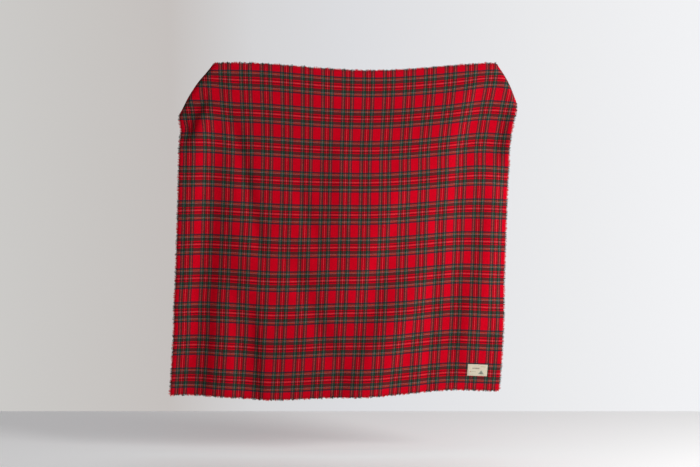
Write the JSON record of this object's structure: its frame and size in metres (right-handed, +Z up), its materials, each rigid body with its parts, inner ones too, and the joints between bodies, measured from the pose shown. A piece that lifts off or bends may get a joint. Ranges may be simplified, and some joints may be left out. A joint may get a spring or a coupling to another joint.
{
  "type": "camp blanket",
  "caption": "Rectangular wool tartan blanket, hanging by its top edge with the top corners folded back, with a short fringe of yarn ends all round and a sewn woven label.",
  "frame": {"origin": "midway between the two points of the top edge that the blanket hangs from, in the middle of the cloth's thickness", "axes": "+X to the right along the top edge seen from the face with the label, +Y to the back, +Z up"},
  "size_m": [1.3904, 0.1699, 1.3451],
  "materials": {
    "wool_tartan": "brushed wool twill, red tartan with dark green, navy, yellow and white",
    "warp_yarn_ends": "cut wool warp yarn ends in the stripe colours",
    "weft_yarn_ends": "cut wool weft yarn ends in the stripe colours",
    "sewing_thread_red": "dull sewing thread matched to the red ground",
    "label_cotton": "cream woven cotton tape",
    "sewing_thread_cream": "cream sewing thread"
  },
  "bodies": {
    "root": {"woven_body": "wool_tartan", "fringe_top": "warp_yarn_ends", "fringe_bottom": "warp_yarn_ends", "fringe_left": "weft_yarn_ends", "fringe_right": "weft_yarn_ends", "lock_stitch_top": "sewing_thread_red", "lock_stitch_bottom": "sewing_thread_red", "lock_stitch_left": "sewing_thread_red", "lock_stitch_right": "sewing_thread_red", "label": "label_cotton", "label_seam": "sewing_thread_cream"}
  },
  "joints": []
}
